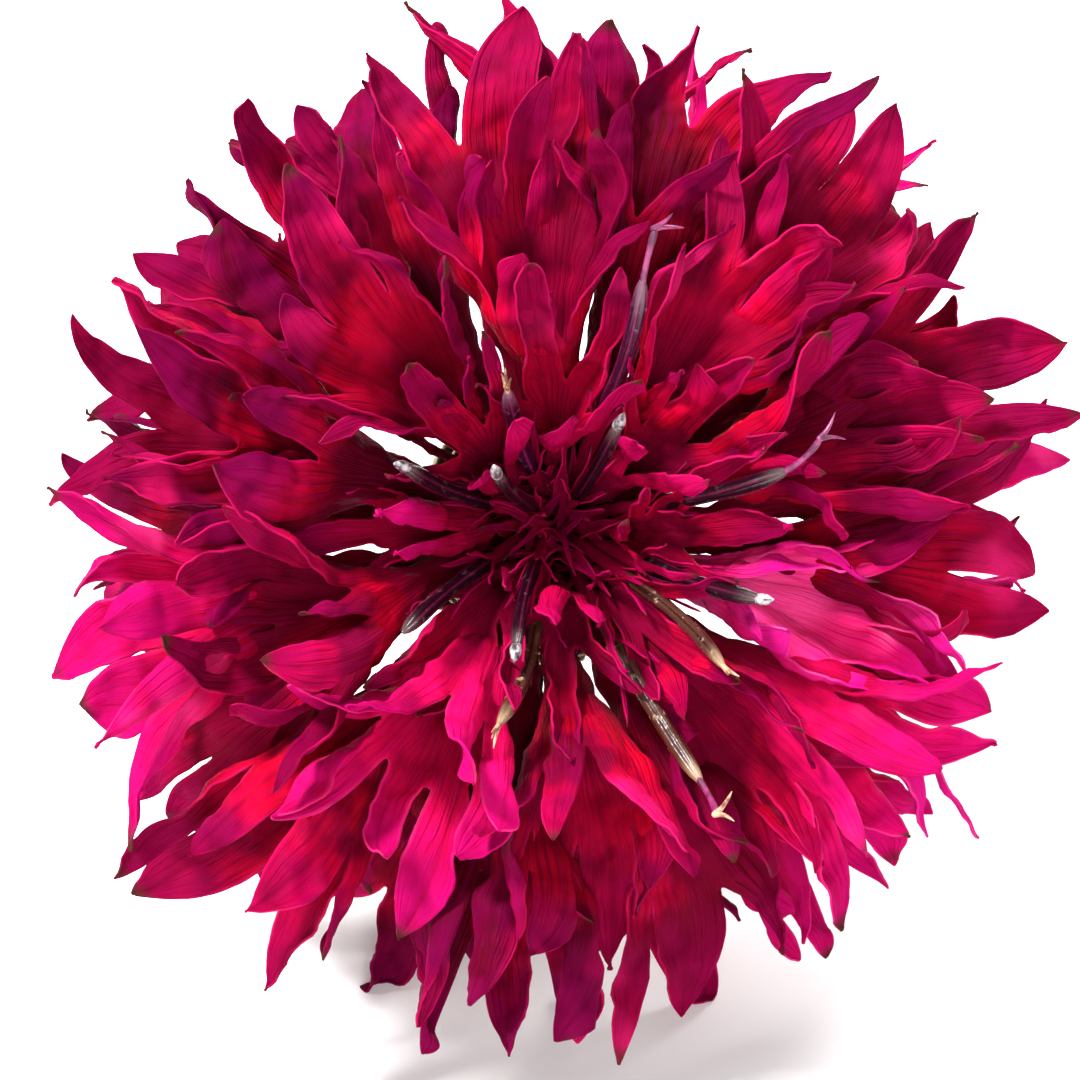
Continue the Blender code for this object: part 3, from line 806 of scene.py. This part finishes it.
def lay_at(piece, end, lean=0.0, turn=0.0, lift=0.0):
    """Bows a rod sideways as it rises, turns it, and sets it on the end of a column. Gives two spots of the
    rod, one just under its end and one at it, so that another rod can stand on it."""
    x, y, z = shape_of(piece.data).T * MM
    x = x + lean * z ** 2 / MM
    ahead = (end[1] - end[0]) / np.linalg.norm(end[1] - end[0])
    side = np.cross(ahead, (0.3, 0.2, 0.93))
    side /= np.linalg.norm(side)
    other = np.cross(ahead, side)
    first = side * math.cos(turn) + other * math.sin(turn)
    second = other * math.cos(turn) - side * math.sin(turn)
    points = end[1] + np.outer(x, first) + np.outer(y, second) + np.outer(z + lift * MM, ahead)
    reshape(piece.data, from_head(points))
    return points[np.argsort(z)][[-16, -4]]


knobble = crumple_texture("knobble", 0.25 * MM)
bead, thread, style = (drawn_rod(name, TIP_SIDES, *zip(*profile))
                       for name, profile in (("bead", BEAD), ("thread", THREAD), ("style", STYLE)))
for number, node in enumerate(FERTILE):
    finish, kind = COLUMN_PLAN[node][:2]
    end, name = COLUMN_ENDS[node], f"column_tip_{number + 1:02d}"
    if kind == "glassy":
        piece = copy_of(bead, name)
        lay_at(piece, end, lean=0.12, turn=luck.uniform(0, 2 * math.pi), lift=-0.45)
        crumple(piece, knobble, 0.14 * MM)
        finished_rod(piece, glassy)
    elif kind == "frayed":
        for i in range(FRAYED_ENDS):
            piece = copy_of(thread, f"{name}_{i + 1}")
            piece.data.transform(Matrix.Diagonal((0.8, 0.8, luck.uniform(*FRAYED_LENGTH), 1)))
            lean = luck.uniform(*FRAYED_LEAN)
            lay_at(piece, end, lean, 2 * math.pi * (i + luck.random() * 0.6) / FRAYED_ENDS, lift=-0.4)
            finished_rod(piece, straw)
    elif kind == "forked":
        turn = luck.uniform(0, 2 * math.pi)
        piece = copy_of(style, f"{name}_style")
        fork = lay_at(piece, end, lean=0.12, turn=turn, lift=-0.5)
        finished_rod(piece, style_purple)
        for i in range(2):
            piece = copy_of(thread, f"{name}_{i + 1}")
            lay_at(piece, fork, lean=0.40, turn=turn + math.pi * i + 0.4, lift=-0.3)
            finished_rod(piece, straw if finish == "withered" else style_purple)
for master in (bead, thread, style):
    bpy.data.objects.remove(master)

# --------------------------------------------------------------------------------------------------
# The cup under the head. Thin green bracts lie over each other like roof tiles in four rows, each with a
# dry brown margin cut into silvery teeth. One bract is shaped flat and copied round the cup, row by row.

BRACTS_A_ROW = (7, 7, 8, 8)
BRACT_CELLS = (6, 12)
BRACT_OUTLINE = ((0.0, 1.0), (0.12, 0.96), (0.3, 0.94), (0.5, 1.0), (0.7, 0.92), (0.85, 0.66),
                 (0.95, 0.36), (1.0, 0.16))
TOOTH, TOOTH_START, TOOTH_POINT = 0.15, 0.34, 0.2
TOOTH_SIDEWAYS, TOOTH_FORWARD = 0.55, 0.85
NERVE_RADIANS = 60.0
BRACT_WALL = 0.13 * MM
BRACT_FOOT, BRACT_FOOT_END = 0.9 * MM, 0.18
BRACT_TILT, BRACT_BULGE, BRACT_FLARE = 0.12 * MM, 0.22 * MM, 0.16 * MM
BRACT_OVERLAP = 1.14
BRACT_LENGTH = (0.93, 1.0)
BRACT_STRAY = (-0.04, 0.04)
ROW_TURN = 0.45


def shaped_bract():
    """A flat bract, two units wide and one long, its margin drawn out into teeth."""
    bpy.ops.object.select_all(action="DESELECT")
    bpy.ops.mesh.primitive_grid_add(x_subdivisions=BRACT_CELLS[0], y_subdivisions=BRACT_CELLS[1], size=2)
    piece = bpy.context.object
    bpy.ops.object.mode_set(mode="EDIT")
    bpy.ops.mesh.select_mode(type="VERT")
    bpy.ops.transform.resize(value=(1, 0.5, 1))
    bpy.ops.transform.translate(value=(0, 0.5, 0))
    form = bmesh.from_edit_mesh(piece.data)
    layer = form.loops.layers.uv.new("petal")
    for each in form.faces:
        for loop in each.loops:
            loop[layer].uv = ((loop.vert.co.x + 1) / 2, loop.vert.co.y)
    levels = sorted({round(corner.co.y, 4) for corner in form.verts})
    for level in levels:
        form = bmesh.from_edit_mesh(piece.data)
        select_points(form, {corner.index for corner in form.verts if abs(corner.co.y - level) < 0.001})
        width = float(np.interp(level, *zip(*BRACT_OUTLINE)))
        bpy.ops.transform.resize(value=(width, 1, 1), center_override=(0, level, 0))
    form = bmesh.from_edit_mesh(piece.data)
    middles = [(each.verts[0].co + each.verts[1].co) / 2 for each in form.edges
               if each.is_boundary and min(end.co.y for end in each.verts) > TOOTH_START]
    for middle in middles:
        form = bmesh.from_edit_mesh(piece.data)
        edge = min(form.edges, key=lambda each: ((each.verts[0].co + each.verts[1].co) / 2 - middle).length)
        select_points(form, {end.index for end in edge.verts})
        bmesh.update_edit_mesh(piece.data)
        sideways = math.copysign(TOOTH_SIDEWAYS, middle.x) if abs(middle.x) > 0.2 else middle.x
        outward = Vector((sideways, TOOTH_FORWARD, 0))
        bpy.ops.mesh.extrude_edges_move(TRANSFORM_OT_translate={"value": outward * TOOTH})
        bpy.ops.transform.resize(value=(TOOTH_POINT, TOOTH_POINT, 1))
    bpy.ops.object.mode_set(mode="OBJECT")
    return piece


def bract_skin():
    tree, given, made = new_effect("bract_skin", ("Body", "Shadow", "Rim", "Fringe"))
    across, along, place = laid_out(tree)
    away = from_middle(tree, across)
    nerves = between(tree, maths(tree, "SINE", product(tree, across, NERVE_RADIANS)), 0.2, 1.0)
    mottle = noise(tree, place, 900, 4)
    colour = blended(tree, between(tree, mottle, 0.35, 0.65), given["Body"], given["Shadow"])
    colour = blended(tree, product(tree, nerves, 0.35), colour, given["Shadow"])
    edge = maths(tree, "MAXIMUM", between(tree, away, 0.62, 0.86), between(tree, along, 0.78, 0.92))
    upper = between(tree, along, 0.22, 0.40)
    colour = blended(tree, product(tree, edge, upper), colour, given["Rim"])
    teeth = maths(tree, "MAXIMUM", between(tree, away, 0.95, 1.0), between(tree, along, 0.965, 1.0))
    colour = blended(tree, product(tree, teeth, upper), colour, given["Fringe"])
    tree.links.new(colour, made["Colour"])
    tree.links.new(between(tree, mottle, 0.3, 0.7, 0.45, 0.7), made["Roughness"])
    tree.links.new(maths(tree, "ADD", mottle, product(tree, nerves, 0.6)), made["Height"])
    return tree


bract_green = finish_of("bract_green", bract_skin(), {
    "Body": (0.15, 0.23, 0.055), "Shadow": (0.065, 0.125, 0.03), "Rim": (0.055, 0.018, 0.012),
    "Fringe": (0.50, 0.40, 0.28)}, 0.10, None, {"Sheen Weight": 0.15, "Specular IOR Level": 0.35})
bract = shaped_bract()
for row, count in enumerate(BRACTS_A_ROW):
    node = f"bract_row_{row + 1}"
    corners = head_points(node)
    heights, radii = corners[:, 2], np.hypot(corners[:, 0], corners[:, 1])
    wall = np.polynomial.Polynomial.fit(heights, radii, 4)
    low, high = heights.min(), heights.max()
    half_turn = math.pi / count * BRACT_OVERLAP
    for i in range(count):
        piece = copy_of(bract, f"bract_{row + 1}_{i + 1}")
        x, y, z = shape_of(piece.data).T
        height = low + y * (high - low) * luck.uniform(*BRACT_LENGTH)
        radius = wall(np.clip(height, low, high))
        radius += BRACT_TILT * x + BRACT_BULGE * (1 - x ** 2) + BRACT_FLARE * y ** 4
        radius -= BRACT_FOOT * np.clip(1 - y / BRACT_FOOT_END, 0, 1)
        middle = 2 * math.pi * (i + 0.5 + row * ROW_TURN) / count + luck.uniform(*BRACT_STRAY)
        angle = middle + x * half_turn
        points = np.stack((radius * np.sin(angle), radius * np.cos(angle), height), axis=1)
        reshape(piece.data, from_head(points))
        piece.data.materials.append(bract_green)
        apply_modifier(piece, "SUBSURF", levels=2, render_levels=2)
        apply_modifier(piece, "SOLIDIFY", thickness=BRACT_WALL, offset=0, use_even_offset=False)
        piece.data.shade_smooth()
        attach(piece, "root")
        if i == 0:
            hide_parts(node)
bpy.data.objects.remove(bract)

# --------------------------------------------------------------------------------------------------
# The stalk. A grey-green, ribbed and slightly woolly stem, cut across with a blade, so that its pale pith
# shows.

STALK_RIBS, RIB_SIDES, RIB_DEPTH = 8, 4, 0.86
STALK_RINGS = tuple(range(6, 61, 6))
STALK_LEVELS = tuple(np.linspace(0, 1, 13))
PITH_INSET, PITH_STEP, PITH_HEART, PITH_DEPTH = 0.30, 0.03, 0.3, 0.012
CUT_RADIUS, CUT_HEIGHT = 0.96, 0.02


def stem_skin():
    tree, given, made = new_effect("stem_skin", ("Rib", "Furrow", "Wool"))
    round_it, along, place = laid_out(tree)
    away = from_middle(tree, maths(tree, "FRACT", round_it))
    streaks = streaked(tree, round_it, along, (9, 26), 1.3)
    colour = blended(tree, between(tree, away, 0.35, 0.95), given["Rib"], given["Furrow"])
    darker = product(tree, between(tree, streaks, 0.4, 0.7), 0.5)
    colour = blended(tree, darker, colour, given["Furrow"])
    wool = product(tree, between(tree, noise(tree, place, 4200, 6), 0.46, 0.70), 0.45)
    tree.links.new(blended(tree, wool, colour, given["Wool"]), made["Colour"])
    tree.links.new(between(tree, wool, 0, 0.6, 0.5, 0.85), made["Roughness"])
    tree.links.new(maths(tree, "ADD", streaks, wool), made["Height"])
    return tree


stem = drawn_rod("stem", STALK_RIBS * RIB_SIDES, STALK_LEVELS, (1.0,) * len(STALK_LEVELS), STALK_RIBS)
bpy.ops.object.select_all(action="DESELECT")
stem.select_set(True)
bpy.context.view_layer.objects.active = stem
bpy.ops.object.mode_set(mode="EDIT")
bpy.ops.mesh.select_mode(type="FACE")
bpy.ops.mesh.select_all(action="DESELECT")
form = bmesh.from_edit_mesh(stem.data)
for each in form.faces:
    each.select_set(len(each.verts) > 4 and each.calc_center_median().z < 0.001)
bmesh.update_edit_mesh(stem.data)
bpy.ops.mesh.inset(thickness=PITH_INSET)
bpy.ops.mesh.inset(thickness=PITH_STEP)
bpy.ops.transform.translate(value=(0, 0, PITH_DEPTH))
bpy.ops.mesh.inset(thickness=PITH_HEART)
bpy.ops.object.mode_set(mode="OBJECT")

piece = copy_of(stem, "stem_ribbed")
points = shape_of(piece.data)
radii = np.hypot(points[:, 0], points[:, 1])
ribs = np.arctan2(points[:, 0], points[:, 1]) / (2 * math.pi) * STALK_RIBS
furrow = np.abs(ribs - np.round(ribs)) < 0.02
points[furrow & (radii > 0.95), :2] *= RIB_DEPTH
reshape(piece.data, from_head(Place.of("stalk", STALK_RINGS).bend(points)))
piece.data.materials.append(finish_of("stem_green", stem_skin(), {
    "Rib": (0.17, 0.25, 0.085), "Furrow": (0.07, 0.125, 0.036), "Wool": (0.38, 0.42, 0.32)}, 0.10, None,
    {"Sheen Weight": 0.3, "Sheen Roughness": 0.6, "Specular IOR Level": 0.3}))
piece.data.materials.append(finish_of("stem_pith", grainy, {
    "Light": (0.62, 0.64, 0.40), "Dark": (0.34, 0.40, 0.18)}, 0.12, {"Grain size": 0.30},
    {"Specular IOR Level": 0.3}))
on_cut = (np.hypot(points[:, 0], points[:, 1]) < CUT_RADIUS) & (points[:, 2] < CUT_HEIGHT)
for each in piece.data.polygons:
    each.material_index = int(all(on_cut[index] for index in each.vertices))
apply_modifier(piece, "SUBSURF", levels=2, render_levels=2)
piece.data.shade_smooth()
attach(piece, "root")
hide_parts("stalk")
bpy.data.objects.remove(stem)

# --------------------------------------------------------------------------------------------------
# The dome that the florets sit on: pale, spongy and pitted. Its solid has the right shape and stays.

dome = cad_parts["receptacle"]
dome_paint = finish_of("dome_spongy", grainy, {"Light": (0.15, 0.19, 0.06), "Dark": (0.06, 0.085, 0.025)},
                       0.2, {"Grain size": 0.5}, {"Specular IOR Level": 0.2})
for spot in dome.material_slots:
    spot.material = dome_paint
